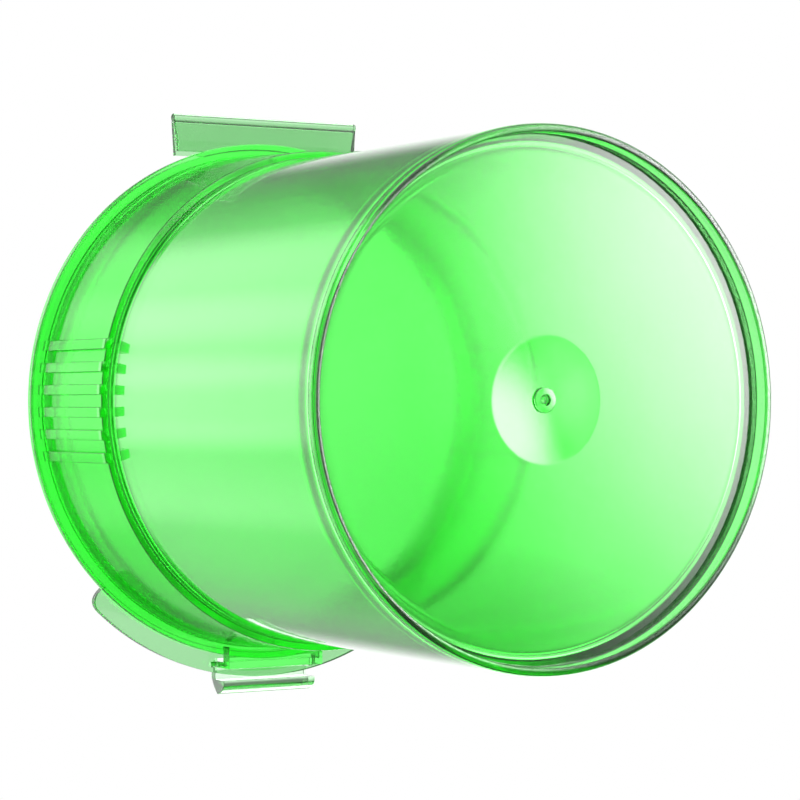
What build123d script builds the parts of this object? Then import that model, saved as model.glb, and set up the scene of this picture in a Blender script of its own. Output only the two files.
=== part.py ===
"""Squat see-through moulded jar with a strap-hinged lid and a rocking front latch.

Units are millimetres. The origin is the centre of the base on the resting surface, +Z is up the
jar's axis, the hinge is at +Y, the latch at -Y and the grip ribs are at +X and -X.
"""

import os

from build123d import *

# ---------------------------------------------------------------- driving dimensions
# Cup
body_radius = 27.0
jar_height = 60.0
ledge_height = 44.6
cup_wall = 1.25
floor_thickness = 1.4
foot_rim_width = 0.85
foot_rim_height = 1.4
foot_edge_radius = 0.25
cavity_corner_radius = 1.6
cove_height = 2.4
cove_width = 0.25
cove_middle_share = 0.25

# Gate area at the middle of the floor
dish_radius = 6.5
dish_depth = 0.4
gate_radius = 1.3
gate_ring_height = 0.3
gate_ring_radius = 0.15
gate_pit_radius = 0.6

# Collar and flange
collar_ledge_overhang = 0.95
collar_flare = 0.6
collar_wall = 1.25
collar_root_width = 0.15
collar_root_height = 0.5
flange_thickness = 1.0
flange_overhang = 1.35
flange_edge_radius = 0.15

# Grip ribs
ribs_per_side = 6
rib_pitch = 2.45
rib_width = 1.1
rib_projection = 0.55
rib_overhang = 0.6

# Lid
lid_step_in = 0.5
lid_thickness = 1.2
lid_edge_radius = 0.3
seal_depth = 4.0
seal_wall = 1.2
seal_gap = 0.2
seal_taper = 0.15
seal_lead_in = 0.4
seal_lead_height = 0.8

# Thumb lip
lip_projection = 2.75
lip_offset = 1.2
lip_half_angle = 44.5
lip_corner_radius = 1.8
lip_thickness = 1.1

# Hinge strap
strap_root_width = 23.2
strap_tip_width = 24.0
strap_projection = 3.1
strap_inset = 6.0
fold_radius = 0.5
leaf_root_thickness = 0.65
leaf_tip_thickness = 0.45
fold_clearance = 0.06

# Latch
hook_width = 12.3
hook_thickness = 1.6
hook_gap_below_flange = 0.08
hook_gap_to_collar = 0.39
web_thickness = 0.7
web_gap_to_flange = 0.23
slot_side_clearance = 0.15
slot_swing_clearance = 0.38
pin_radius = 0.3
pin_length = 0.9
pin_clearance = 0.03
bar_width = 12.0
bar_gap_above_lip = 0.08
bar_gap_outside_lip = 0.2
bar_top_rise = 1.0
bar_tip_reach = 1.65
bar_drop = 1.1
bar_nose_drop = 0.45
bar_brow_rise = 0.15
bar_belly_out = 0.66
bar_belly_up = 0.24

# Margins used while cutting and choosing edges
cut_margin = 1.0
edge_margin = 0.5
tolerance = 1e-4

# ---------------------------------------------------------------- places worked out from them
floor_top = foot_rim_height + floor_thickness
cavity_radius = body_radius - cup_wall
floor_radius = cavity_radius - cavity_corner_radius
flange_bottom = jar_height - flange_thickness
collar_bottom_radius = body_radius + collar_ledge_overhang
collar_top_radius = collar_bottom_radius + collar_flare
collar_height = flange_bottom - ledge_height
mouth_radius = collar_top_radius - collar_wall
flange_radius = collar_top_radius + flange_overhang
lid_radius = flange_radius - lid_step_in
lid_top = jar_height + lid_thickness

lip_reach = lid_radius + lip_projection
lip_radius = lip_reach - lip_offset
lip_top = jar_height + lip_thickness

strap_root_y = lid_radius - strap_inset
fold_y = flange_radius + strap_projection - fold_radius
fold_z = jar_height

web_inner_y = -(flange_radius + web_gap_to_flange)
web_outer_y = web_inner_y - web_thickness
pivot_y = (web_inner_y + web_outer_y) / 2
pivot_z = jar_height + lip_thickness / 2
hook_top = flange_bottom - hook_gap_below_flange
hook_bottom = hook_top - hook_thickness
hook_inner_radius = collar_top_radius + hook_gap_to_collar
slot_width = hook_width + 2 * slot_side_clearance
slot_depth = web_thickness + 2 * slot_swing_clearance
bar_bottom = lip_top + bar_gap_above_lip
bar_nose_y = -(lip_reach + bar_gap_outside_lip)
bar_tip_y = bar_nose_y - bar_tip_reach


def turned(*edges):
    """A solid of revolution about Z from edges that close a profile in the XZ plane."""
    return revolve(make_face(Curve() + list(edges)), Axis.Z, 360)


def turned_polygon(*points):
    """A solid of revolution about Z from (radius, height) corners."""
    corners = [(r, 0, z) for r, z in points]
    return turned(Polyline(*corners, close=True))


def disc(radius, low, high):
    """An upright cylinder about Z between two heights."""
    return Pos(0, 0, low) * Cylinder(radius, high - low, align=(Align.CENTER, Align.CENTER, Align.MIN))


def block(x_size, y_range, z_range):
    """A box centred on X between two Y and two Z values."""
    y_low, y_high = y_range
    z_low, z_high = z_range
    middle = Pos(0, (y_low + y_high) / 2, (z_low + z_high) / 2)
    return middle * Box(x_size, y_high - y_low, z_high - z_low)


def rod_along_x(radius, length, x_middle, y, z):
    """A round rod whose axis is parallel to X."""
    return Pos(x_middle, y, z) * Rot(0, 90, 0) * Cylinder(radius, length)


def circular_edges(shape, radius, height):
    """The circular edges of a shape that have a given radius and lie at a given height."""
    edges = shape.edges().filter_by(GeomType.CIRCLE)
    level = [e for e in edges if abs(e.center().Z - height) < tolerance]
    return [e for e in level if abs(e.radius - radius) < tolerance]


def cup_shell():
    """The whole cup as one shape: wall, foot rim and recessed floor."""
    cup = disc(body_radius, 0, ledge_height)
    cup = fillet(circular_edges(cup, body_radius, 0), foot_edge_radius)
    cavity = disc(cavity_radius, floor_top, ledge_height)
    cavity = fillet(circular_edges(cavity, cavity_radius, floor_top), cavity_corner_radius)
    cup -= cavity
    return cup - disc(body_radius - foot_rim_width, 0, foot_rim_height)


def jar_body():
    """Cup wall with its foot rim, the round inside corner and a cove under the ledge."""
    return cup_shell() - disc(floor_radius, 0, ledge_height) + cove()


def jar_floor():
    """Floor inside the corner radius, with a dished gate area in its underside."""
    floor = cup_shell() & disc(floor_radius, 0, ledge_height)
    dish_sphere = (dish_radius**2 + dish_depth**2) / (2 * dish_depth)
    floor -= Pos(0, 0, foot_rim_height + dish_depth - dish_sphere) * Sphere(dish_sphere)
    return floor + gate_mark()


def gate_mark():
    """Raised round pip with a pit, left where the moulding gate was cut."""
    dish_bottom = foot_rim_height + dish_depth
    pip = disc(gate_radius, dish_bottom - gate_ring_height, dish_bottom + floor_thickness / 2)
    pip = fillet(circular_edges(pip, gate_radius, dish_bottom - gate_ring_height), gate_ring_radius)
    return pip - Pos(0, 0, dish_bottom - gate_ring_height) * Sphere(gate_pit_radius)


def cove():
    """Ring with a hollow outer curve that leads the cup wall out to the ledge."""
    inner = body_radius - cup_wall / 2
    low = (body_radius, 0, ledge_height - cove_height)
    high = (body_radius + cove_width, 0, ledge_height)
    middle = (body_radius + cove_width * cove_middle_share, 0, ledge_height - cove_height / 2)
    hollow = ThreePointArc(low, middle, high)
    rest = Polyline(high, (inner, 0, ledge_height), (inner, 0, ledge_height - cove_height), low)
    return turned(hollow, rest)


def collar_outside(offset, low):
    """The solid inside the collar's flared outer wall, moved out by an offset, from a low height up."""
    slope = collar_flare / collar_height
    low_radius = collar_bottom_radius + offset - slope * (ledge_height - low)
    high_radius = collar_top_radius + offset
    return turned_polygon((0, low), (low_radius, low), (high_radius, flange_bottom), (0, flange_bottom))


def mouth_collar():
    """Flared wall on top of the cup, with a small root where it meets the flange."""
    inner_low = collar_bottom_radius - collar_wall
    root_radius = collar_top_radius - collar_flare / collar_height * collar_root_height
    return turned_polygon(
        (inner_low, ledge_height),
        (collar_bottom_radius, ledge_height),
        (root_radius, flange_bottom - collar_root_height),
        (collar_top_radius + collar_root_width, flange_bottom),
        (mouth_radius, flange_bottom),
    )


def mouth_flange():
    """Flat ring round the mouth."""
    ring = disc(flange_radius, flange_bottom, jar_height) - disc(mouth_radius, flange_bottom, jar_height)
    lower = circular_edges(ring, flange_radius, flange_bottom)
    upper = circular_edges(ring, flange_radius, jar_height)
    return fillet(lower + upper, flange_edge_radius)


def grip_ribs(side):
    """Upright ribs on the collar, on the +X side for side = 1 and the -X side for side = -1."""
    low = ledge_height - rib_overhang
    skin = collar_outside(rib_projection, low)
    skin -= collar_outside(0, low)
    skin -= mouth_collar()
    ribs = []
    for n in range(ribs_per_side):
        y = (n - (ribs_per_side - 1) / 2) * rib_pitch
        bar = Pos(side * body_radius, y, (low + flange_bottom) / 2)
        ribs.append((bar * Box(body_radius, rib_width, flange_bottom - low) & skin).solid())
    return Compound(children=ribs)


def strap_plan():
    """Plan outline of the hinge strap, from inside the flange to the fold, wider at the fold."""
    return Plane.XY * make_face(
        Polyline(
            (-strap_root_width / 2, strap_root_y),
            (strap_root_width / 2, strap_root_y),
            (strap_root_width / 2, flange_radius),
            (strap_tip_width / 2, fold_y),
            (-strap_tip_width / 2, fold_y),
            (-strap_root_width / 2, flange_radius),
            close=True,
        )
    )


def strap_leaf(direction):
    """One leaf of the strap, tapering to the fold, above the parting plane for 1, below for -1."""
    side_view = Polyline(
        (0, strap_root_y, fold_z),
        (0, strap_root_y, fold_z + direction * leaf_root_thickness),
        (0, flange_radius, fold_z + direction * leaf_root_thickness),
        (0, fold_y, fold_z + direction * leaf_tip_thickness),
        (0, fold_y, fold_z),
        close=True,
    )
    wedge = extrude(make_face(side_view), strap_tip_width, dir=(1, 0, 0), both=True)
    plan = extrude(strap_plan(), 2 * jar_height)
    return wedge & plan


def hinge_strap_jar():
    """Lower leaf with the round fold along its outer edge."""
    leaf = strap_leaf(-1) - disc(flange_radius, flange_bottom - cut_margin, jar_height + cut_margin)
    return leaf + rod_along_x(fold_radius, strap_tip_width, 0, fold_y, fold_z)


def hinge_strap_lid():
    """Upper leaf, hollowed to turn about the fold."""
    leaf = strap_leaf(1) - disc(lid_radius, jar_height - cut_margin, lid_top + cut_margin)
    return leaf - rod_along_x(fold_radius + fold_clearance, 2 * strap_tip_width, 0, fold_y, fold_z)


def lid_disc():
    """Round plate that rests on the flange."""
    plate = disc(lid_radius, jar_height, lid_top)
    return fillet(circular_edges(plate, lid_radius, lid_top), lid_edge_radius)


def seal_ring():
    """Tapered plug ring under the plate with a lead-in at its lower edge."""
    top_radius = mouth_radius - seal_gap
    low_radius = top_radius - seal_taper
    inner = top_radius - seal_wall
    low = jar_height - seal_depth
    return turned_polygon(
        (inner, low),
        (low_radius - seal_lead_in, low),
        (low_radius, low + seal_lead_height),
        (top_radius, jar_height),
        (inner, jar_height),
    )


def thumb_lip():
    """Crescent in front of the plate, with the latch's slot and its pin holes."""
    crescent = Pos(0, -lip_offset, 0) * disc(lip_radius, jar_height, lip_top)
    reach = 2 * lip_reach
    left = Vector(0, -reach, 0).rotate(Axis.Z, -lip_half_angle)
    right = Vector(0, -reach, 0).rotate(Axis.Z, lip_half_angle)
    sector = make_face(Polyline((0, 0, 0), left, right, close=True))
    crescent &= Pos(0, 0, jar_height) * extrude(sector, lip_thickness)
    crescent -= disc(lid_radius, jar_height, lip_top)
    upright = crescent.edges().filter_by(Axis.Z)
    plate_edge = lid_radius + edge_margin
    outer_corners = [e for e in upright if Vector(e.center().X, e.center().Y).length > plate_edge]
    crescent = fillet(outer_corners, lip_corner_radius)
    slot_y = (pivot_y - slot_depth / 2, pivot_y + slot_depth / 2)
    crescent -= block(slot_width, slot_y, (jar_height, lip_top))
    hole_span = hook_width + 2 * (pin_length + pin_clearance)
    return crescent - rod_along_x(pin_radius + pin_clearance, hole_span, 0, pivot_y, pivot_z)


def latch_hook():
    """Block that reaches in under the flange, its inner end hollow to follow the collar."""
    hook = block(hook_width, (web_outer_y, -mouth_radius), (hook_bottom, hook_top))
    return hook - disc(hook_inner_radius, hook_bottom, hook_top)


def latch_web():
    """Upright plate between the hook and the bar, through the slot."""
    return block(hook_width, (web_outer_y, web_inner_y), (hook_top, bar_bottom))


def latch_torsion_pins():
    """Two short round webs at the plate's ends."""
    middle = (hook_width + pin_length) / 2
    pins = [rod_along_x(pin_radius, pin_length, s * middle, pivot_y, pivot_z) for s in (-1, 1)]
    return Compound(children=[p.solid() for p in pins])


def latch_bar():
    """Wedge-section finger bar: flat over the lip, turned down outside it, pointed outward."""
    top = bar_bottom + bar_top_rise
    tip_z = bar_bottom - bar_nose_drop
    low = lip_top - lip_thickness - bar_drop
    inner_low = (0, web_inner_y, bar_bottom)
    inner_top = (0, web_inner_y, top)
    shoulder = (0, bar_nose_y + bar_gap_outside_lip, top)
    tip = (0, bar_tip_y, tip_z)
    nose = (0, bar_nose_y, low)
    belly = (0, bar_nose_y - bar_belly_out * bar_tip_reach, low + bar_belly_up * (tip_z - low))
    brow = (0, (shoulder[1] + tip[1]) / 2, (top + tip_z) / 2 + bar_brow_rise)
    outline = Curve() + [
        Polyline((0, bar_nose_y, low), (0, bar_nose_y, bar_bottom), inner_low, inner_top, shoulder),
        ThreePointArc(shoulder, brow, tip),
        ThreePointArc(tip, belly, nose),
    ]
    return extrude(make_face(outline), bar_width / 2, dir=(1, 0, 0), both=True)


def main():
    """Write one STEP file for each piece."""
    os.makedirs("parts", exist_ok=True)
    pieces = {
        "jar_body": jar_body(),
        "jar_floor": jar_floor(),
        "mouth_collar": mouth_collar(),
        "mouth_flange": mouth_flange(),
        "grip_ribs_right": grip_ribs(1),
        "grip_ribs_left": grip_ribs(-1),
        "hinge_strap_jar": hinge_strap_jar(),
        "hinge_strap_lid": hinge_strap_lid(),
        "lid_disc": lid_disc(),
        "seal_ring": seal_ring(),
        "thumb_lip": thumb_lip(),
        "latch_hook": latch_hook(),
        "latch_web": latch_web(),
        "latch_torsion_pins": latch_torsion_pins(),
        "latch_bar": latch_bar(),
    }
    for name, shape in pieces.items():
        export_step(shape, f"parts/{name}.step")


main()
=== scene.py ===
"""Squat see-through green jar with a strap-hinged lid, a thumb lip and a rocking latch.

The jar is three plastic mouldings: the cup with its collar, flange, grip ribs and lower strap
leaf; the lid with its seal ring, thumb lip and upper strap leaf; and the latch. Each is one
closed mesh, so that light passes through it as it does through one moulded wall. Sizes are in
millimetres until a mesh is finished, and in metres after that.
"""

import logging
import math
from collections.abc import Callable, Iterable, Sequence
from dataclasses import dataclass
from enum import Enum

import bmesh
import bpy
from mathutils import Matrix, Vector

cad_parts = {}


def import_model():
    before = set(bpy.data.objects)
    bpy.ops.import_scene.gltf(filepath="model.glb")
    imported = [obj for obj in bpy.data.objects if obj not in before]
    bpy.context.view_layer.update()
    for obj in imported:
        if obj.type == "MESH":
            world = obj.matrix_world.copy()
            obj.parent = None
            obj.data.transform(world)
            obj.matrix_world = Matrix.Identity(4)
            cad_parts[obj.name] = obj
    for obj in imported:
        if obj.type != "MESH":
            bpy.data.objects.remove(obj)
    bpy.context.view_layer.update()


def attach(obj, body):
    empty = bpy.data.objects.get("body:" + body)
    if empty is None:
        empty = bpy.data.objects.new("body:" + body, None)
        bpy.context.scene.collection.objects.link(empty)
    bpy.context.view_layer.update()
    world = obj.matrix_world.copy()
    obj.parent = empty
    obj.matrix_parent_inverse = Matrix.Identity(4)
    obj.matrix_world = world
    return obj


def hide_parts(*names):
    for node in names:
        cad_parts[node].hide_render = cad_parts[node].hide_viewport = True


LOG = logging.getLogger("jar")
MM = 0.001
SAME_PLACE = 1e-5
ROUND_SEGMENTS = 4
SOFT_SEGMENTS = 2
Point = tuple[float, float]
Colour = tuple[float, float, float, float]
Value = "float | Signal | bpy.types.NodeSocket | Sequence[float]"


class Fuse(Enum):
    """How one solid is worked into another."""

    JOIN = "UNION"
    CUT = "DIFFERENCE"


# ------------------------------------------------------------------------------ shader nodes


class Signal:
    """A number socket that takes part in Python arithmetic, adding Math nodes as it goes."""

    def __init__(self, graph: "Graph", socket: bpy.types.NodeSocket) -> None:
        """Wrap one output socket of a graph."""
        self.graph = graph
        self.socket = socket

    def math(self, operation: str, *values: Value) -> "Signal":
        """Run a Math node on given values.

        Args:
            operation: The Math node's operation.
            values: Its inputs in order.

        Returns:
            The result as a new signal.
        """
        node = self.graph.add("ShaderNodeMath", {"operation": operation}, dict(enumerate(values)))
        return Signal(self.graph, node.outputs[0])

    def __add__(self, other: Value) -> "Signal":
        """Sum."""
        return self.math("ADD", self, other)

    __radd__ = __add__

    def __sub__(self, other: Value) -> "Signal":
        """Difference."""
        return self.math("SUBTRACT", self, other)

    def __rsub__(self, other: Value) -> "Signal":
        """Difference with the signal second."""
        return self.math("SUBTRACT", other, self)

    def __mul__(self, other: Value) -> "Signal":
        """Product."""
        return self.math("MULTIPLY", self, other)

    __rmul__ = __mul__

    def __pow__(self, other: Value) -> "Signal":
        """Power."""
        return self.math("POWER", self, other)

    def __rpow__(self, other: Value) -> "Signal":
        """Power with the signal as exponent."""
        return self.math("POWER", other, self)

    def __abs__(self) -> "Signal":
        """Size without sign."""
        return self.math("ABSOLUTE", self)

    def ease(self, low: float, high: float) -> "Signal":
        """A smooth step.

        Args:
            low: Where it leaves 0.
            high: Where it reaches 1.

        Returns:
            The step as a new signal.
        """
        settings = {"interpolation_type": "SMOOTHSTEP"}
        inputs = {"Value": self, "From Min": low, "From Max": high}
        return Signal(self.graph, self.graph.add("ShaderNodeMapRange", settings, inputs).outputs[0])


class Graph:
    """The node tree of one material or world, cleared and ready to fill."""

    def __init__(self, tree: bpy.types.NodeTree) -> None:
        """Start from an empty tree."""
        tree.nodes.clear()
        self.tree = tree

    def add(
        self,
        kind: str,
        settings: dict[str, object] | None = None,
        inputs: dict[str | int, Value] | None = None,
    ) -> bpy.types.Node:
        """Add a node.

        Args:
            kind: The node's type.
            settings: Its own settings, set first.
            inputs: Socket names or numbers with the values or links that they take.

        Returns:
            The new node.
        """
        node = self.tree.nodes.new(kind)
        for name, value in (settings or {}).items():
            setattr(node, name, value)
        for key, value in (inputs or {}).items():
            socket = node.inputs[key]
            if isinstance(value, Signal):
                self.tree.links.new(value.socket, socket)
            elif isinstance(value, bpy.types.NodeSocket):
                self.tree.links.new(value, socket)
            else:
                socket.default_value = value
        return node

    def blend(self, share: Value, first: Value, second: Value) -> bpy.types.NodeSocket:
        """A colour between two colours.

        Args:
            share: 0 for the first colour, 1 for the second.
            first: The first colour.
            second: The second colour.

        Returns:
            The mixed colour's socket.
        """
        node = self.add("ShaderNodeMix", {"data_type": "RGBA"}, {0: share, 6: first, 7: second})
        return node.outputs[2]

    def split(self, vector: bpy.types.NodeSocket) -> tuple[Signal, ...]:
        """A vector's x, y and z."""
        node = self.add("ShaderNodeSeparateXYZ", None, {0: vector})
        return tuple(Signal(self, socket) for socket in node.outputs)

    def noise(
        self, place: bpy.types.NodeSocket, scale: float, detail: float, rough: float = 0.55
    ) -> Signal:
        """Soft random variation from 0 to 1 at a scale in waves per metre."""
        inputs = {"Vector": place, "Scale": scale, "Detail": detail, "Roughness": rough}
        return Signal(self, self.add("ShaderNodeTexNoise", None, inputs).outputs[0])


# ------------------------------------------------------------------------------ finishes


@dataclass(frozen=True)
class MouldedPlastic:
    """A see-through moulded plastic: tinted walls, flow clouds, drag lines and a fine peel.

    Its thin parts, farther from the cup's axis than a set radius, are painted another green that
    stands for light and shade there: painted shade on the cup and the lid, a painted highlight on
    the latch. The collar band is painted a deeper green, painted shade for the light lost through
    the wall and the seal ring one behind the other, and it is less glossy.
    """

    name: str
    tint: Colour
    deep_tint: Colour
    # painted light and shade: the green painted on the outer thin parts in place of the plastic's
    # own tint
    outer_painted_light_and_shade: Colour
    depth_density: float
    roughness: float
    outer_paint_radius: float = 0.0299
    depth_colour: Colour = (0.0, 0.985, 0.01, 1.0)
    # painted shade: the collar band's deeper green, for the light lost through the wall and the
    # seal ring
    collar_painted_shade: Colour = (0.16, 0.97, 0.17, 1.0)
    collar_low: float = 0.0446
    collar_high: float = 0.0590
    collar_roughness: float = 0.03
    zone_edge: float = 0.0001
    roughness_swing: float = 0.05
    coat: float = 0.8
    coat_roughness: float = 0.04
    refraction: float = 1.49
    flow_scale: float = 55.0
    flow_detail: float = 3.0
    flow_share: float = 0.7
    cloud_low: float = 0.35
    cloud_high: float = 0.65
    peel_scale: float = 900.0
    peel_detail: float = 1.0
    peel_share: float = 0.5
    peel_height: float = 0.000012
    peel_strength: float = 0.5
    drag_scale: float = 700.0
    drag_detail: float = 2.0
    drag_stretch: float = 0.012

    def collar(self, height: Signal) -> Signal:
        """1 between the collar's lower and upper edges, 0 elsewhere."""
        # this band carries the painted shade of the deeper green, and the lower gloss
        above = height.ease(self.collar_low, self.collar_low + self.zone_edge)
        return above * (1.0 - height.ease(self.collar_high, self.collar_high + self.zone_edge))

    def colour(
        self, graph: Graph, cloud: Signal, spot: tuple[Signal, ...], collar: Signal
    ) -> bpy.types.NodeSocket:
        """The tint of each place.

        Args:
            graph: The material's nodes.
            cloud: The flow clouds, from 0 to 1.
            spot: The place's x, y and z.
            collar: Where the collar is.

        Returns:
            The colour's socket.
        """
        x, y, _ = spot
        # past the set radius the surface takes the painted light-and-shade green, not the plastic's
        # own tint
        thin = ((x * x + y * y) ** 0.5).ease(self.outer_paint_radius, self.outer_paint_radius + self.zone_edge)
        wall = graph.blend(cloud, self.tint, self.deep_tint)
        # painted shade on the collar band, then painted light and shade on the outer thin parts,
        # over the wall's own tint and flow clouds
        return graph.blend(thin, graph.blend(collar, wall, self.collar_painted_shade), self.outer_painted_light_and_shade)

    def material(self) -> bpy.types.Material:
        """Build the node material.

        Returns:
            The finished material.
        """
        made = bpy.data.materials.new(self.name)
        made.use_nodes = True
        graph = Graph(made.node_tree)
        place = graph.add("ShaderNodeTexCoord").outputs["Object"]
        stretch = {"Vector": place, "Scale": (1.0, 1.0, self.drag_stretch)}
        drawn = graph.add("ShaderNodeMapping", None, stretch).outputs[0]
        flow = graph.noise(place, self.flow_scale, self.flow_detail)
        drag = graph.noise(drawn, self.drag_scale, self.drag_detail)
        peel = graph.noise(place, self.peel_scale, self.peel_detail)
        mottle = flow * self.flow_share + drag * (1 - self.flow_share)
        cloud = mottle.ease(self.cloud_low, self.cloud_high)
        spot = graph.split(place)
        collar = self.collar(spot[2])
        rough = (flow - 0.5) * self.roughness_swing + collar * self.collar_roughness
        height = peel * self.peel_share + drag * (1 - self.peel_share)
        surface = graph.add(
            "ShaderNodeBump",
            None,
            {"Strength": self.peel_strength, "Distance": self.peel_height, "Height": height},
        )
        body = graph.add(
            "ShaderNodeBsdfPrincipled",
            None,
            {
                "Base Color": self.colour(graph, cloud, spot, collar),
                "Roughness": rough + self.roughness,
                "IOR": self.refraction,
                "Transmission Weight": 1.0,
                "Coat Weight": self.coat - collar * self.coat,
                "Coat Roughness": self.coat_roughness,
                "Normal": surface.outputs[0],
            },
        )
        lamp_ray = graph.add("ShaderNodeLightPath").outputs["Is Shadow Ray"]
        clear = graph.add("ShaderNodeBsdfTransparent", None, {"Color": self.tint})
        sides = {0: lamp_ray, 1: body.outputs[0], 2: clear.outputs[0]}
        mixed = graph.add("ShaderNodeMixShader", None, sides)
        soaked = {"Color": self.depth_colour, "Density": self.depth_density}
        depth = graph.add("ShaderNodeVolumeAbsorption", None, soaked)
        ends = {"Surface": mixed.outputs[0], "Volume": depth.outputs[0]}
        graph.add("ShaderNodeOutputMaterial", None, ends)
        return made


CLEAR_GREEN = MouldedPlastic(
    name="clear_green_plastic",
    tint=(0.44, 0.985, 0.45, 1.0),
    deep_tint=(0.38, 0.98, 0.39, 1.0),
    # painted shade: the strap and the thumb lip get a greyer, darker green
    outer_painted_light_and_shade=(0.45, 0.74, 0.46, 1.0),
    depth_density=240.0,
    roughness=0.10,
)
CLEAR_THIN = MouldedPlastic(
    name="clear_green_thin",
    tint=(0.40, 0.96, 0.41, 1.0),
    deep_tint=(0.34, 0.95, 0.35, 1.0),
    # painted highlight: the latch's finger bar gets a paler, near-white green
    outer_painted_light_and_shade=(0.80, 0.92, 0.81, 1.0),
    outer_paint_radius=0.0315,
    depth_density=100.0,
    roughness=0.09,
)


@dataclass(frozen=True)
class PaleFloor:
    """A plain pale floor that shows only from above."""

    name: str = "pale_floor"
    colour: Colour = (0.86, 0.87, 0.86, 1.0)
    grain: float = 0.03
    grain_scale: float = 6.0
    grain_detail: float = 2.0
    roughness: float = 0.6

    def material(self) -> bpy.types.Material:
        """Build the node material.

        Returns:
            The finished material.
        """
        made = bpy.data.materials.new(self.name)
        made.use_nodes = True
        graph = Graph(made.node_tree)
        place = graph.add("ShaderNodeTexCoord").outputs["Object"]
        cloud = graph.noise(place, self.grain_scale, self.grain_detail)
        darker = tuple(c * (1 - self.grain) for c in self.colour[:3]) + (1.0,)
        paint = graph.add(
            "ShaderNodeBsdfPrincipled",
            None,
            {
                "Base Color": graph.blend(cloud, self.colour, darker),
                "Roughness": self.roughness,
            },
        )
        clear = graph.add("ShaderNodeBsdfTransparent")
        under = graph.add("ShaderNodeNewGeometry").outputs["Backfacing"]
        sides = {0: under, 1: paint.outputs[0], 2: clear.outputs[0]}
        mixed = graph.add("ShaderNodeMixShader", None, sides)
        graph.add("ShaderNodeOutputMaterial", None, {"Surface": mixed.outputs[0]})
        return made


# ------------------------------------------------------------------------------ mesh work


class Section:
    """The outline of a turned part from the axis to the axis, with rounds on its corners."""

    def __init__(self, corners: Iterable[Sequence[float]] = ()) -> None:
        """Start from some corners.

        Args:
            corners: Each a radius, a height and, if it is rounded, the round's size.
        """
        self.points: list[Point] = []
        self.rounds: dict[int, float] = {}
        for row in corners:
            self.corner(*row)

    def corner(self, r: float, z: float, size: float = 0.0) -> None:
        """Add a corner.

        Args:
            r: Its radius.
            z: Its height.
            size: The radius of the round on it, or 0 for none.
        """
        if size:
            self.rounds[len(self.points)] = size
        self.points.append((r, z))

    def run(self, points: Iterable[Point]) -> None:
        """Add several plain corners."""
        for r, z in points:
            self.corner(r, z)


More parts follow.
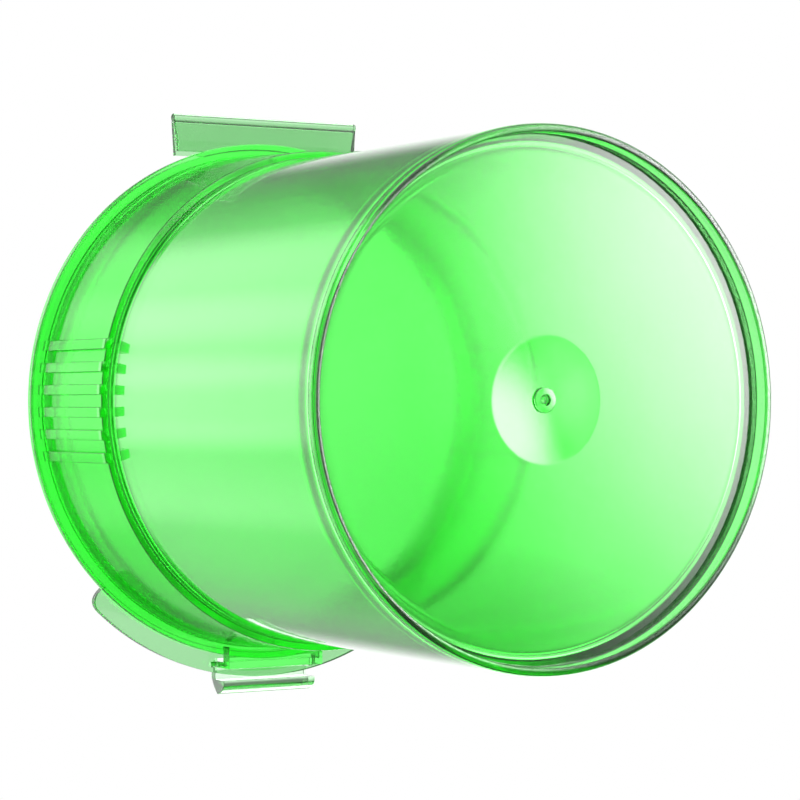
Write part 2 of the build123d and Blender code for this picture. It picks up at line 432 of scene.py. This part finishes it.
class Solid:
    """A closed mesh under construction, in millimetres."""

    def __init__(self) -> None:
        """Start with nothing in it."""
        self.bm = bmesh.new()

    @classmethod
    def turned(cls, section: Section, steps: int) -> "Solid":
        """A solid of revolution about Z.

        Args:
            section: Its outline with the rounds.
            steps: The number of steps in the full turn.

        Returns:
            The turned solid.
        """
        made = cls()
        bm = made.bm
        verts = [bm.verts.new((r, 0.0, z)) for r, z in section.points]
        bm.faces.new(verts)
        for radius in sorted(set(section.rounds.values())):
            corners = [verts[n] for n, size in section.rounds.items() if size == radius]
            bmesh.ops.bevel(
                bm,
                geom=corners,
                offset=radius,
                offset_type="OFFSET",
                segments=ROUND_SEGMENTS,
                profile=0.5,
                affect="VERTICES",
                material=-1,
            )
        bmesh.ops.delete(bm, geom=bm.faces[:], context="FACES_ONLY")
        spine = [e for e in bm.edges if all(abs(v.co.x) < SAME_PLACE for v in e.verts)]
        bmesh.ops.delete(bm, geom=spine, context="EDGES")
        bmesh.ops.spin(
            bm,
            geom=bm.verts[:] + bm.edges[:],
            cent=(0, 0, 0),
            axis=(0, 0, 1),
            angle=2 * math.pi,
            steps=steps,
            use_merge=True,
        )
        made.clean()
        return made

    @classmethod
    def drawn(
        cls, outline: Iterable[Sequence[float]], along: Sequence[float], soft: float
    ) -> "Solid":
        """A flat outline drawn out along a vector, its edges softened.

        Args:
            outline: The corners in order.
            along: How far it is drawn out.
            soft: The bevel on its sharp edges.

        Returns:
            The drawn solid.
        """
        made = cls()
        face = made.bm.faces.new([made.bm.verts.new(corner) for corner in outline])
        grown = bmesh.ops.extrude_face_region(made.bm, geom=[face])
        moved = [g for g in grown["geom"] if isinstance(g, bmesh.types.BMVert)]
        bmesh.ops.translate(made.bm, verts=moved, vec=along)
        made.clean()
        made.soften(soft)
        return made

    @classmethod
    def prism(cls, outline: Sequence[Point], half_width: float, soft: float) -> "Solid":
        """A (y, z) outline drawn out along X to both sides."""
        return cls.drawn([(-half_width, y, z) for y, z in outline], (2 * half_width, 0, 0), soft)

    @classmethod
    def plate(cls, outline: Sequence[Point], low: float, high: float, soft: float) -> "Solid":
        """An (x, y) outline drawn up between two heights."""
        return cls.drawn([(x, y, low) for x, y in outline], (0, 0, high - low), soft)

    @classmethod
    def box(cls, low: Sequence[float], high: Sequence[float]) -> "Solid":
        """A box between two corners.

        Args:
            low: Its corner with the least x, y and z.
            high: The opposite corner.

        Returns:
            The box.
        """
        made = cls()
        size = Vector(high) - Vector(low)
        place = Matrix.Translation((Vector(low) + Vector(high)) / 2) @ Matrix.Diagonal((*size, 1))
        bmesh.ops.create_cube(made.bm, size=1.0, matrix=place)
        return made

    @classmethod
    def rod(
        cls, radius: float, half_width: float, y: float, z: float, sides: int = 32
    ) -> "Solid":
        """A round rod along X.

        Args:
            radius: Its radius.
            half_width: How far it reaches to each side.
            y: Its axis across the jar.
            z: Its axis's height.
            sides: The number of flats round it.

        Returns:
            The rod.
        """
        made = cls()
        place = Matrix.Translation((0, y, z)) @ Matrix.Rotation(math.pi / 2, 4, "Y")
        bmesh.ops.create_cone(
            made.bm,
            cap_ends=True,
            segments=sides,
            radius1=radius,
            radius2=radius,
            depth=2 * half_width,
            matrix=place,
        )
        return made

    def clean(self) -> None:
        """Merge doubles and turn every face outward."""
        bmesh.ops.remove_doubles(self.bm, verts=self.bm.verts[:], dist=SAME_PLACE)
        bmesh.ops.recalc_face_normals(self.bm, faces=self.bm.faces[:])

    def soften(self, offset: float, angle: float = 35.0) -> None:
        """Bevel the sharp edges.

        Args:
            offset: The bevel's width, or 0 for none.
            angle: How many degrees an edge turns at least to be sharp.
        """
        if offset <= 0:
            return
        limit = math.radians(angle)
        sharp = [e for e in self.bm.edges if e.is_manifold and e.calc_face_angle() > limit]
        bmesh.ops.bevel(
            self.bm,
            geom=sharp,
            offset=offset,
            offset_type="OFFSET",
            segments=SOFT_SEGMENTS,
            profile=0.5,
            affect="EDGES",
            clamp_overlap=True,
            material=-1,
        )

    def shaped(self, move: Callable[[Vector], Vector]) -> "Solid":
        """Send every corner through a function.

        Args:
            move: Takes a corner's place and gives its new one.

        Returns:
            The same solid.
        """
        for v in self.bm.verts:
            v.co = move(v.co.copy())
        return self

    def to_object(self, name: str) -> bpy.types.Object:
        """Write the mesh into a new object and let go of the working mesh.

        Args:
            name: The object's and the mesh's name.

        Returns:
            The object.
        """
        mesh = bpy.data.meshes.new(name)
        self.bm.to_mesh(mesh)
        self.bm.free()
        made = bpy.data.objects.new(name, mesh)
        bpy.context.scene.collection.objects.link(made)
        return made


class Moulding:
    """Solids worked together into one closed piece."""

    def __init__(self, name: str, body: Solid) -> None:
        """Start from a body solid.

        Args:
            name: The finished piece's name.
            body: The solid that the others are worked into.
        """
        self.name = name
        self.piece = body.to_object(name)
        self.tools: list[bpy.types.Object] = []

    def work(self, how: Fuse, solids: Iterable[Solid]) -> "Moulding":
        """Join or cut solids, one after another.

        Args:
            how: Join or cut.
            solids: The solids to work in.

        Returns:
            The same moulding.
        """
        for solid in solids:
            tool = solid.to_object(f"{self.name}_tool_{len(self.tools)}")
            self.tools.append(tool)
            change = self.piece.modifiers.new(tool.name, "BOOLEAN")
            change.operation = how.value
            change.solver = "EXACT"
            change.object = tool
        return self

    def finish(self, material: bpy.types.Material, sharp_degrees: float = 38.0) -> bpy.types.Object:
        """Apply the work, scale to metres and dress the piece.

        Args:
            material: The piece's finish.
            sharp_degrees: Edges sharper than this stay crisp.

        Returns:
            The finished object.
        """
        bpy.context.view_layer.update()
        seen = self.piece.evaluated_get(bpy.context.evaluated_depsgraph_get())
        mesh = bpy.data.meshes.new_from_object(seen)
        self.piece.modifiers.clear()
        self.piece.data = mesh
        mesh.name = self.name
        for tool in self.tools:
            bpy.data.objects.remove(tool)
        bm = bmesh.new()
        bm.from_mesh(mesh)
        bmesh.ops.remove_doubles(bm, verts=bm.verts[:], dist=10 * SAME_PLACE)
        bmesh.ops.dissolve_degenerate(bm, edges=bm.edges[:], dist=SAME_PLACE)
        bmesh.ops.recalc_face_normals(bm, faces=bm.faces[:])
        open_edges = [e for e in bm.edges if not e.is_manifold]
        bmesh.ops.scale(bm, vec=(MM, MM, MM), verts=bm.verts[:])
        bm.to_mesh(mesh)
        bm.free()
        mesh.shade_smooth()
        mesh.set_sharp_from_angle(angle=math.radians(sharp_degrees))
        mesh.materials.clear()
        mesh.materials.append(material)
        even = self.piece.modifiers.new("even_shading", "WEIGHTED_NORMAL")
        even.keep_sharp = True
        LOG.info("%s: %d faces, %d open edges", self.name, len(mesh.polygons), len(open_edges))
        return self.piece


def arc(centre: Point, radius: float, start: float, end: float, count: int) -> list[Point]:
    """Points along a round corner of an outline.

    Args:
        centre: The arc's centre.
        radius: Its radius.
        start: The first point's angle in degrees.
        end: The last point's angle in degrees.
        count: The number of points, both ends included.

    Returns:
        The points in order.
    """
    turns = [math.radians(start + (end - start) * n / (count - 1)) for n in range(count)]
    return [(centre[0] + radius * math.cos(t), centre[1] + radius * math.sin(t)) for t in turns]


def bow(start: Point, middle: Point, end: Point, count: int) -> list[Point]:
    """Points along the gentle curve through three points, without its first point.

    Args:
        start: Where it starts.
        middle: The point it passes half-way.
        end: Where it ends.
        count: The number of points.

    Returns:
        The points in order.
    """
    found = []
    for n in range(1, count + 1):
        t = n / count
        shares = (2 * (t - 0.5) * (t - 1), -4 * t * (t - 1), 2 * t * (t - 0.5))
        found.append(
            tuple(sum(s * p[k] for s, p in zip(shares, (start, middle, end))) for k in (0, 1))
        )
    return found


# ------------------------------------------------------------------------------ the jar


@dataclass(frozen=True)
class StrapPlan:
    """What both leaves of the hinge strap have in common."""

    root_half: float = 11.6
    tip_half: float = 12.0
    root_y: float = 29.9
    fold_y: float = 32.5
    root_thickness: float = 0.65
    tip_thickness: float = 0.45
    sunk: float = 1.2
    soft: float = 0.08
    soft_above: float = 50.0

    def taper(self, place: Vector) -> Vector:
        """Send a corner to its place on the leaf's slanted side.

        Args:
            place: Where it is on a straight leaf.

        Returns:
            Its place on the tapered one.
        """
        lean = (self.tip_half - self.root_half) / (self.fold_y - self.root_y)
        width = self.tip_half - lean * max(0.0, self.fold_y - max(place.y, self.root_y))
        return Vector((math.copysign(width, place.x), place.y, place.z))

    def leaf(self, outline: Sequence[Point]) -> Solid:
        """A leaf from its (y, z) outline.

        Args:
            outline: The corners in order.

        Returns:
            The leaf, wider at the fold than at the root.
        """
        made = Solid.prism(outline, self.tip_half, 0.0).shaped(self.taper)
        made.soften(self.soft, self.soft_above)
        return made


@dataclass
class Cup:
    """Cup, collar, flange, grip ribs and the strap's lower leaf, in one moulding."""

    radius: float = 27.0
    wall: float = 1.25
    height: float = 60.0
    ledge: float = 44.6
    foot_width: float = 0.85
    foot_height: float = 1.4
    foot_root_round: float = 0.12
    foot_inner_round: float = 0.14
    foot_outer_round: float = 0.25
    floor_top: float = 2.8
    cavity_round: float = 1.6
    dish_radius: float = 6.5
    dish_depth: float = 0.4
    dish_steps: int = 11
    gate_radius: float = 1.3
    gate_round: float = 0.14
    gate_pit: float = 0.6
    gate_pit_start: float = 75.0
    gate_low: float = 1.5
    curve_points: int = 6
    cove_height: float = 2.4
    cove_width: float = 0.25
    ledge_round: float = 0.12
    collar_low: float = 27.95
    collar_high: float = 28.55
    collar_wall: float = 1.25
    flange_low: float = 59.0
    flange_radius: float = 29.9
    flange_round: float = 0.15
    flange_root_drop: float = 0.5
    flange_root_flare: float = 0.15
    mouth_round: float = 0.2
    shelf_outer_round: float = 0.1
    shelf_inner_round: float = 0.3
    rib_count: int = 6
    rib_pitch: float = 2.45
    rib_width: float = 1.1
    rib_projection: float = 0.55
    rib_overhang: float = 0.6
    rib_sunk: float = 0.35
    rib_sunk_top: float = 0.3
    rib_soft: float = 0.1
    fold_radius: float = 0.5
    fold_end: float = 176.0
    fold_points: int = 22
    leaf_drop: float = 0.03
    plan: StrapPlan = StrapPlan()
    steps: int = 288

    def collar_at(self, z: float) -> float:
        """The collar's outer radius at a height."""
        share = (z - self.ledge) / (self.flange_low - self.ledge)
        return self.collar_low + share * (self.collar_high - self.collar_low)

    def section(self) -> Section:
        """The moulding's section, from the axis under the floor to the axis above it.

        Returns:
            The section.
        """
        made = Section([(0.0, self.gate_low + self.gate_pit)])
        pit = (0, self.gate_low)
        made.run(arc(pit, self.gate_pit, self.gate_pit_start, 0, self.curve_points))
        dish = self.foot_height + self.dish_depth
        bend = self.dish_depth / self.dish_radius**2
        made.corner(self.gate_radius, self.gate_low, self.gate_round)
        made.corner(self.gate_radius, dish - bend * self.gate_radius**2)
        for n in range(1, self.dish_steps + 1):
            r = self.gate_radius + (self.dish_radius - self.gate_radius) * n / self.dish_steps
            made.corner(r, dish - bend * r**2)
        foot = self.radius - self.foot_width
        made.corner(foot, self.foot_height, self.foot_root_round)
        made.corner(foot, 0.0, self.foot_inner_round)
        made.corner(self.radius, 0.0, self.foot_outer_round)
        start = (self.radius, self.ledge - self.cove_height)
        made.corner(*start)
        middle = (self.radius + self.cove_width / 4, self.ledge - self.cove_height / 2)
        top = (self.radius + self.cove_width, self.ledge)
        made.run(bow(start, middle, top, self.curve_points))
        made.corner(self.collar_low, self.ledge, self.ledge_round)
        flare_low = self.flange_low - self.flange_root_drop
        made.corner(self.collar_at(flare_low), flare_low)
        made.corner(self.collar_high + self.flange_root_flare, self.flange_low)
        made.corner(self.flange_radius, self.flange_low, self.flange_round)
        made.corner(self.flange_radius, self.height, self.flange_round)
        made.corner(self.collar_high - self.collar_wall, self.height, self.mouth_round)
        made.corner(self.collar_high - self.collar_wall, self.flange_low)
        made.corner(self.collar_low - self.collar_wall, self.ledge, self.shelf_outer_round)
        inside = self.radius - self.wall
        made.corner(inside, self.ledge, self.shelf_inner_round)
        made.corner(inside, self.floor_top, self.cavity_round)
        made.corner(0.0, self.floor_top)
        return made

    def rib(self, side: int, y: float) -> Solid:
        """One upright grip rib.

        Args:
            side: 1 at +X, -1 at -X.
            y: Its middle across the jar.

        Returns:
            The rib, sunk into the collar so that it joins.
        """
        low, high = self.ledge - self.rib_overhang, self.flange_low + self.rib_sunk_top
        half = self.rib_width / 2
        block = Solid.box((0, y - half, low), (1, y + half, high))

        def follow(place: Vector) -> Vector:
            """Bend the block's faces at x = 0 and x = 1 round the collar.

            Args:
                place: A corner of the block.

            Returns:
                Its place at the collar.
            """
            reach = self.rib_projection if place.x > 0.5 else -self.rib_sunk
            radius = self.collar_at(place.z) + reach
            return Vector((side * math.sqrt(radius**2 - place.y**2), place.y, place.z))

        block.shaped(follow)
        block.clean()
        block.soften(self.rib_soft)
        return block

    def strap(self) -> Solid:
        """The strap's lower leaf with the round fold on its outer edge.

        Returns:
            The leaf, sunk into the flange so that it joins.
        """
        root, under = self.flange_radius - self.plan.sunk, self.height - self.plan.root_thickness
        start = -90 - math.degrees(math.acos(self.plan.tip_thickness / self.fold_radius))
        hub = (self.plan.fold_y, self.height)
        outline = [(root, self.height - self.leaf_drop), (root, under), (self.flange_radius, under)]
        outline += arc(hub, self.fold_radius, start, self.fold_end, self.fold_points)
        return self.plan.leaf(outline)

    def build(self, plastic: bpy.types.Material) -> bpy.types.Object:
        """Make the moulding and hang it on the jar.

        Args:
            plastic: Its finish.

        Returns:
            The piece.
        """
        moulding = Moulding("cup_moulding", Solid.turned(self.section(), self.steps))
        places = [(n - (self.rib_count - 1) / 2) * self.rib_pitch for n in range(self.rib_count)]
        ribs = [self.rib(side, y) for side in (1, -1) for y in places]
        moulding.work(Fuse.JOIN, [*ribs, self.strap()])
        piece = moulding.finish(plastic)
        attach(piece, "jar")
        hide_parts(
            "jar_body",
            "jar_floor",
            "mouth_collar",
            "mouth_flange",
            "grip_ribs_right",
            "grip_ribs_left",
            "hinge_strap_jar",
        )
        return piece


@dataclass
class Lid:
    """Plate, seal ring, thumb lip and the strap's upper leaf, in one moulding."""

    radius: float = 29.4
    low: float = 60.0
    rest_gap: float = 0.03
    thickness: float = 1.2
    low_round: float = 0.1
    high_round: float = 0.3
    seal_low: float = 56.0
    seal_inner: float = 25.9
    seal_outer: float = 27.1
    seal_foot: float = 26.95
    seal_lead: float = 0.4
    seal_root_round: float = 0.3
    seal_foot_round: float = 0.15
    seal_lead_round: float = 0.3
    lip_radius: float = 30.95
    lip_offset: float = 1.2
    lip_half_angle: float = 44.5
    lip_thickness: float = 1.1
    lip_round: float = 1.8
    lip_round_end: float = 0.95
    lip_round_steps: int = 8
    lip_sunk: float = 0.6
    lip_soft: float = 0.1
    lip_outer_points: int = 65
    lip_inner_points: int = 41
    slot_half: float = 6.3
    slot_near: float = -29.75
    slot_far: float = -31.21
    slot_below: float = 1.0
    slot_above: float = 3.0
    pivot_y: float = -30.48
    pivot_z: float = 60.55
    pin_hole: float = 0.33
    pin_reach: float = 7.08
    hollow: float = 0.56
    hollow_points: int = 10
    plan: StrapPlan = StrapPlan()
    steps: int = 288

    def section(self) -> Section:
        """The plate and the seal ring, from the axis below to the axis above.

        Returns:
            The section.
        """
        under, top = self.low + self.rest_gap, self.low + self.thickness
        return Section(
            [
                (0.0, self.low),
                (self.seal_inner, self.low, self.seal_root_round),
                (self.seal_inner, self.seal_low, self.seal_foot_round),
                (self.seal_foot - self.seal_lead, self.seal_low, self.seal_foot_round),
                (self.seal_foot, self.seal_low + 2 * self.seal_lead, self.seal_lead_round),
                (self.seal_outer, under),
                (self.radius, under, self.low_round),
                (self.radius, top, self.high_round),
                (0.0, top),
            ]
        )

    def crescent(self) -> Solid:
        """The thumb lip as a solid plate with softened edges.

        Returns:
            The lip, sunk into the plate so that it joins.
        """
        spread = self.lip_half_angle
        side = Vector((math.sin(math.radians(spread)), -math.cos(math.radians(spread))))
        centre = Vector((0.0, -self.lip_offset))
        along = side.dot(centre)
        far = side * (along + math.sqrt(along**2 - centre.dot(centre) + self.lip_radius**2))
        sweep = math.degrees(math.atan2(far.x, -(far.y + self.lip_offset)))
        trim = math.degrees(self.lip_round / self.lip_radius)
        outer = arc(
            (0.0, -self.lip_offset),
            self.lip_radius,
            -90 - sweep + trim,
            -90 + sweep - trim,
            self.lip_outer_points,
        )
        right = self.corner_round(outer[-1], side)
        left = [(-x, y) for x, y in reversed(right)]
        inner = arc(
            (0.0, 0.0),
            self.radius - self.lip_sunk,
            -90 + spread,
            -90 - spread,
            self.lip_inner_points,
        )
        under, top = self.low + self.rest_gap, self.low + self.lip_thickness
        return Solid.plate(outer + right + inner + left, under, top, self.lip_soft)

    def corner_round(self, start: Point, side: Vector) -> list[Point]:
        """Points of the round between the lip's rim and its end, bowed outward.

        Args:
            start: The rim's last point.
            side: The direction of the lip's end from the jar's axis.

        Returns:
            The points in order, without the start.
        """
        first = Vector(start)
        hub = side * first.length
        end = side * (first.length - self.lip_round * self.lip_round_end)
        shares = [n / self.lip_round_steps for n in range(1, self.lip_round_steps + 1)]
        return [tuple(first * (1 - t) ** 2 + hub * 2 * t * (1 - t) + end * t**2) for t in shares]

    def strap(self) -> Solid:
        """The strap's upper leaf, hollowed where it turns round the fold.

        Returns:
            The leaf, sunk into the plate so that it joins.
        """
        root, top = self.radius - self.plan.sunk, self.low + self.plan.root_thickness
        start = 180.0 - math.degrees(math.asin(self.rest_gap / self.hollow))
        end = math.degrees(math.pi - math.asin(self.plan.tip_thickness / self.hollow))
        hub = (self.plan.fold_y, self.low)
        outline = [(root, top), (root, self.low + self.rest_gap)]
        outline += arc(hub, self.hollow, start, end, self.hollow_points)
        return self.plan.leaf([*outline, (self.plan.root_y, top)])

    def build(self, plastic: bpy.types.Material) -> bpy.types.Object:
        """Make the moulding and hang it on the lid.

        Args:
            plastic: Its finish.

        Returns:
            The piece.
        """
        moulding = Moulding("lid_moulding", Solid.turned(self.section(), self.steps))
        moulding.work(Fuse.JOIN, [self.crescent(), self.strap()])
        slot = Solid.box(
            (-self.slot_half, self.slot_far, self.low - self.slot_below),
            (self.slot_half, self.slot_near, self.low + self.slot_above),
        )
        holes = Solid.rod(self.pin_hole, self.pin_reach, self.pivot_y, self.pivot_z)
        moulding.work(Fuse.CUT, [slot, holes])
        piece = moulding.finish(plastic)
        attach(piece, "lid")
        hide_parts("lid_disc", "seal_ring", "thumb_lip", "hinge_strap_lid")
        return piece


@dataclass
class Latch:
    """Hook, web, torsion pins and finger bar, in one moulding."""

    half_width: float = 6.15
    hook_low: float = 57.32
    hook_high: float = 58.92
    hook_near: float = -28.0
    hook_soft: float = 0.1
    hollow: float = 28.94
    hollow_low: float = 50.0
    hollow_gap: float = 0.02
    web_near: float = -30.13
    web_far: float = -30.83
    web_sunk: float = 0.3
    pivot_y: float = -30.48
    pivot_z: float = 60.55
    pin_radius: float = 0.3
    pin_reach: float = 7.05
    bar_half: float = 6.0
    bar_low: float = 61.18
    bar_high: float = 62.18
    bar_soft: float = 0.08
    nose: Point = (-32.35, 58.9)
    shoulder_y: float = -32.15
    tip: Point = (-34.0, 60.73)
    brow: Point = (-33.075, 61.605)
    belly: Point = (-33.439, 59.339)
    curve_points: int = 8
    steps: int = 288

    def hook(self) -> Solid:
        """Hook and web in one outline, the hook's inner end still square.

        Returns:
            The solid.
        """
        top = self.bar_low + self.web_sunk
        outline = [
            (self.web_far, self.hook_low),
            (self.hook_near, self.hook_low),
            (self.hook_near, self.hook_high),
            (self.web_near, self.hook_high),
            (self.web_near, top),
            (self.web_far, top),
        ]
        return Solid.prism(outline, self.half_width, self.hook_soft)

    def bar(self) -> Solid:
        """The wedge-section finger bar.

        Returns:
            The solid.
        """
        shoulder = (self.shoulder_y, self.bar_high)
        outline = [
            self.nose,
            (self.nose[0], self.bar_low),
            (self.web_near, self.bar_low),
            (self.web_near, self.bar_high),
            shoulder,
            *bow(shoulder, self.brow, self.tip, self.curve_points),
            *bow(self.tip, self.belly, self.nose, self.curve_points)[:-1],
        ]
        return Solid.prism(outline, self.bar_half, self.bar_soft)

    def inside(self) -> Solid:
        """The round space that the hook's inner end follows.

        Returns:
            The solid to cut away.
        """
        top = self.hook_high + self.hollow_gap
        low = self.hollow_low
        section = Section([(0.0, low), (self.hollow, low), (self.hollow, top), (0.0, top)])
        return Solid.turned(section, self.steps)

    def build(self, plastic: bpy.types.Material) -> bpy.types.Object:
        """Make the moulding and hang it on the latch.

        Args:
            plastic: Its finish.

        Returns:
            The piece.
        """
        moulding = Moulding("latch_moulding", self.hook())
        pins = Solid.rod(self.pin_radius, self.pin_reach, self.pivot_y, self.pivot_z)
        moulding.work(Fuse.JOIN, [self.bar(), pins])
        moulding.work(Fuse.CUT, [self.inside()])
        piece = moulding.finish(plastic)
        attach(piece, "latch")
        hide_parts("latch_hook", "latch_web", "latch_torsion_pins", "latch_bar")
        return piece


# ------------------------------------------------------------------------------ the studio


@dataclass(frozen=True)
class Window:
    """A soft bright patch of the room, round a direction."""

    toward: tuple[float, float, float]
    strength: float
    inner_degrees: float
    outer_degrees: float

    def share(self, graph: Graph, way: bpy.types.NodeSocket) -> Signal:
        """How much of the window a direction sees.

        Args:
            graph: The world's nodes.
            way: The direction.

        Returns:
            A share from 0 to 1.
        """
        aim = tuple(Vector(self.toward).normalized())
        node = graph.add("ShaderNodeVectorMath", {"operation": "DOT_PRODUCT"}, {0: way, 1: aim})
        facing = Signal(graph, node.outputs[1])
        outer = math.cos(math.radians(self.outer_degrees))
        return facing.ease(outer, math.cos(math.radians(self.inner_degrees)))


@dataclass
class Studio:
    """Camera, world, soft key light and the pale floor."""

    camera_place: tuple[float, float, float] = (0.1457, -0.0005, -0.2141)
    camera_back: tuple[float, float, float] = (0.5135, -0.002, -0.858)
    camera_up: tuple[float, float, float] = (0.0, 1.0, -0.002)
    lens: float = 119.25
    sensor: float = 36.0
    near_clip: float = 0.01
    far_clip: float = 20.0
    floor_size: float = 3.0
    floor_sides: int = 96
    key_place: tuple[float, float, float] = (0.40, 0.40, 0.25)
    key_aim: tuple[float, float, float] = (0.0, 0.0, 0.03)
    key_size: float = 0.35
    key_power: float = 0.6
    bounces: int = 24
    clear_bounces: int = 16
    room_grey: float = 0.24
    horizon_glow: float = 0.8
    glow_low: float = 0.25
    glow_high: float = 0.5
    windows: tuple[Window, ...] = (
        # behind the jar, seen through it
        Window((-0.51, 0.0, 0.86), 0.75, 8.0, 24.0),
        Window((-0.70, -0.12, 0.70), 0.1, 14.0, 34.0),
        # under the jar, mirrored in its base
        Window((-0.72, 0.17, -0.67), 6.5, 8.0, 17.5),
        Window((-0.68, 0.03, -0.73), 3.0, 4.0, 12.0),
        Window((-0.21, 0.61, -0.80), 2.0, 14.0, 34.0),
        Window((-0.41, 0.03, -0.91), 0.8, 4.0, 9.0),
        # beyond the latch, and beyond the strap
        Window((-0.51, -0.72, 0.45), 4.0, 8.0, 22.0),
        Window((-0.57, 0.82, 0.03), 0.6, 14.0, 34.0),
        # over the jar on the camera's side, mirrored in its wall
        Window((0.26, 0.0, 0.97), 0.22, 14.0, 34.0),
        Window((0.05, -0.55, 0.83), 0.2, 14.0, 34.0),
        Window((0.39, 0.51, 0.77), 0.2, 14.0, 34.0),
        Window((0.46, 0.0, 0.89), 1.05, 4.0, 12.0),
        Window((0.40, 0.22, 0.89), 0.5, 4.0, 12.0),
        Window((0.30, 0.41, 0.89), 0.7, 5.0, 18.0),
        Window((0.38, -0.28, 0.89), 0.35, 5.0, 14.0),
    )

    def camera(self) -> None:
        """Set the camera under the jar and to its right, looking up at its base."""
        data = bpy.data.cameras.new("camera")
        data.lens = self.lens
        data.sensor_width = self.sensor
        data.clip_start = self.near_clip
        data.clip_end = self.far_clip
        made = bpy.data.objects.new("camera", data)
        bpy.context.scene.collection.objects.link(made)
        back = Vector(self.camera_back).normalized()
        right = Vector(self.camera_up).cross(back).normalized()
        up = back.cross(right)
        turn = Matrix((right, up, back)).transposed().to_4x4()
        made.matrix_world = Matrix.Translation(self.camera_place) @ turn
        bpy.context.scene.camera = made

    def world(self) -> None:
        """A white backdrop, and round it a grey room with soft bright windows."""
        made = bpy.data.worlds.new("white_room")
        bpy.context.scene.world = made
        made.use_nodes = True
        graph = Graph(made.node_tree)
        way = graph.add("ShaderNodeTexCoord").outputs["Generated"]
        height = abs(graph.split(way)[2])
        horizon = 1.0 - height.ease(self.glow_low, self.glow_high)
        light = self.room_grey + self.horizon_glow * horizon
        for window in self.windows:
            light = light + window.strength * window.share(graph, way)
        seen = graph.add("ShaderNodeLightPath").outputs["Is Camera Ray"]
        level = light + Signal(graph, seen) * (1.0 - light)
        white = {"Color": (1.0, 1.0, 1.0, 1.0), "Strength": level}
        glow = graph.add("ShaderNodeBackground", None, white)
        graph.add("ShaderNodeOutputWorld", None, {"Surface": glow.outputs[0]})

    def lamp(self) -> None:
        """Set up the square soft key light."""
        data = bpy.data.lights.new("key_light", "AREA")
        data.size = self.key_size
        data.energy = self.key_power
        made = bpy.data.objects.new("key_light", data)
        bpy.context.scene.collection.objects.link(made)
        made.location = self.key_place
        made.rotation_mode = "QUATERNION"
        way = Vector(self.key_aim) - Vector(self.key_place)
        made.rotation_quaternion = way.to_track_quat("-Z", "Y")

    def floor(self) -> None:
        """The floor that the jar stands on, seen only from above."""
        bm = bmesh.new()
        bmesh.ops.create_circle(
            bm, cap_ends=True, segments=self.floor_sides, radius=self.floor_size
        )
        mesh = bpy.data.meshes.new("floor")
        bm.to_mesh(mesh)
        bm.free()
        made = bpy.data.objects.new("floor", mesh)
        bpy.context.scene.collection.objects.link(made)
        mesh.materials.append(PaleFloor().material())
        made.visible_diffuse = False
        made.visible_glossy = False
        made.visible_transmission = False
        made.visible_shadow = False

    def build(self) -> None:
        """Set up the whole studio."""
        self.camera()
        self.world()
        self.floor()
        self.lamp()
        scene = bpy.context.scene
        scene.view_settings.view_transform = "Standard"
        scene.cycles.max_bounces = self.bounces
        scene.cycles.transmission_bounces = self.bounces
        scene.cycles.transparent_max_bounces = self.clear_bounces


def main() -> None:
    """Load the frame, and build the jar and the studio round it."""
    logging.basicConfig(level=logging.INFO, format="%(name)s %(message)s")
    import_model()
    body, thin = CLEAR_GREEN.material(), CLEAR_THIN.material()
    Cup().build(body)
    Lid().build(body)
    Latch().build(thin)
    Studio().build()


if __name__ == "__main__":
    main()
